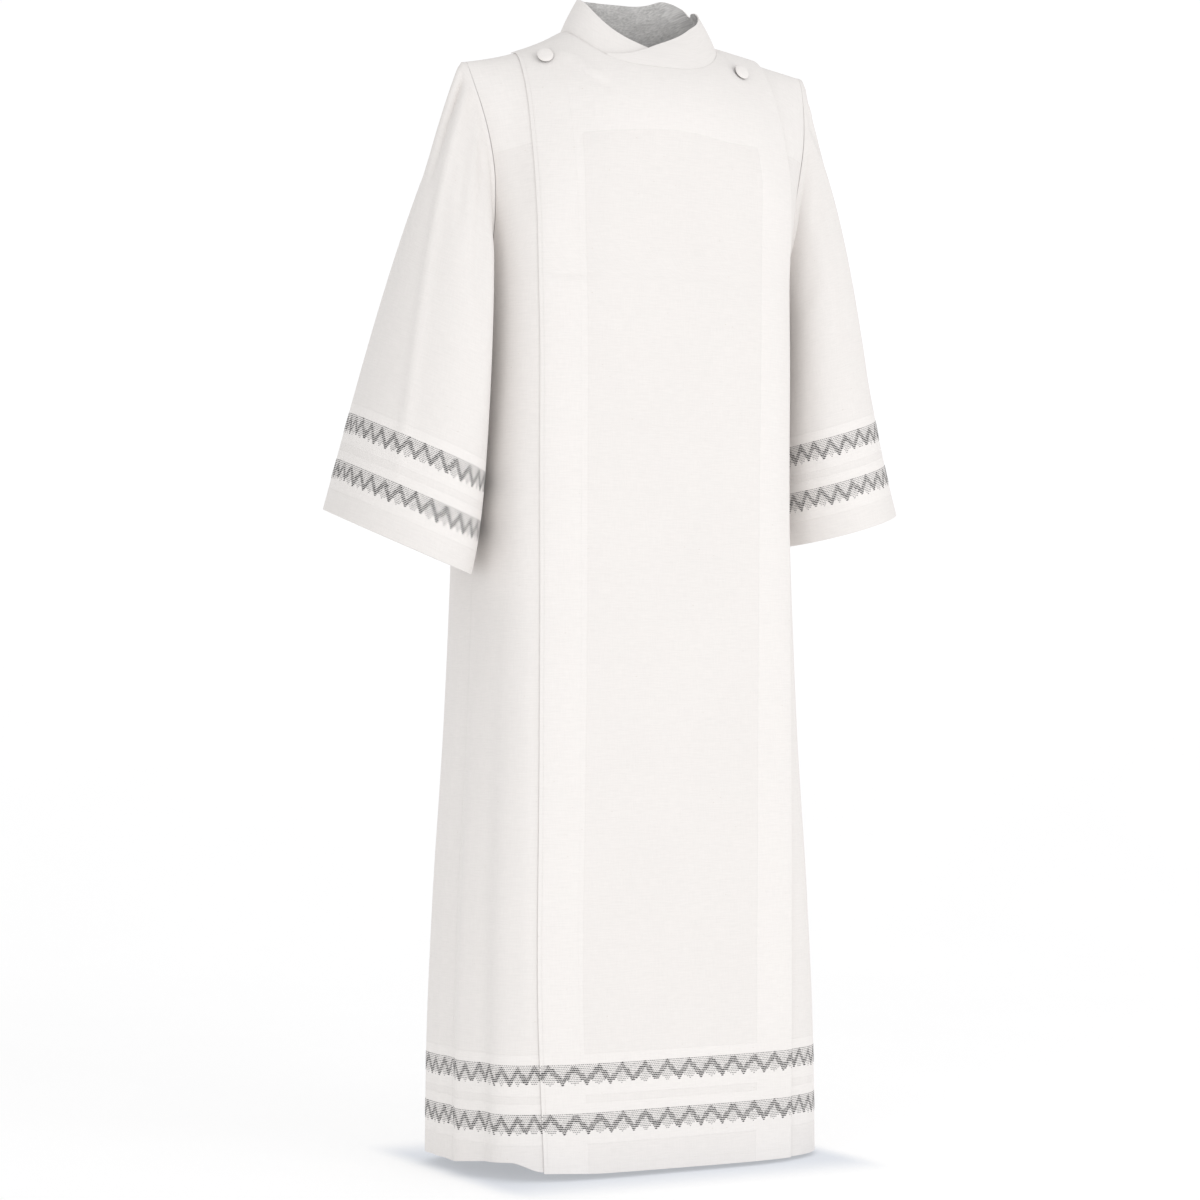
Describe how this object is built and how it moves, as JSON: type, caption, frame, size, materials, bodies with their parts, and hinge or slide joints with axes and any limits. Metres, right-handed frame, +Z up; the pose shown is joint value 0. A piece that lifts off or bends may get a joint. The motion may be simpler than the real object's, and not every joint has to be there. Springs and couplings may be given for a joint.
{
  "type": "wrap-front alb robe",
  "caption": "Ankle-length white liturgical robe filled out as if worn, with a crossed stand collar, a flat wrap-over front buttoned at both shoulders and wide set-in sleeves.",
  "frame": {"origin": "middle of the neck opening at the height of the shoulder seams' neck ends, where the wearer holds the robe up", "axes": "+Z up towards the collar, the front faces -Y, the wearer's left is at +X"},
  "size_m": [0.8115, 0.296, 1.4994],
  "materials": {
    "cloth": "matt white linen-look weave",
    "button_cloth": "matt white cloth over a button core"
  },
  "bodies": {
    "root": {"back": "cloth", "front_inner": "cloth", "front_outer": "cloth", "sleeve_right": "cloth", "sleeve_left": "cloth", "collar": "cloth", "button_right": "button_cloth", "button_left": "button_cloth"}
  },
  "joints": []
}
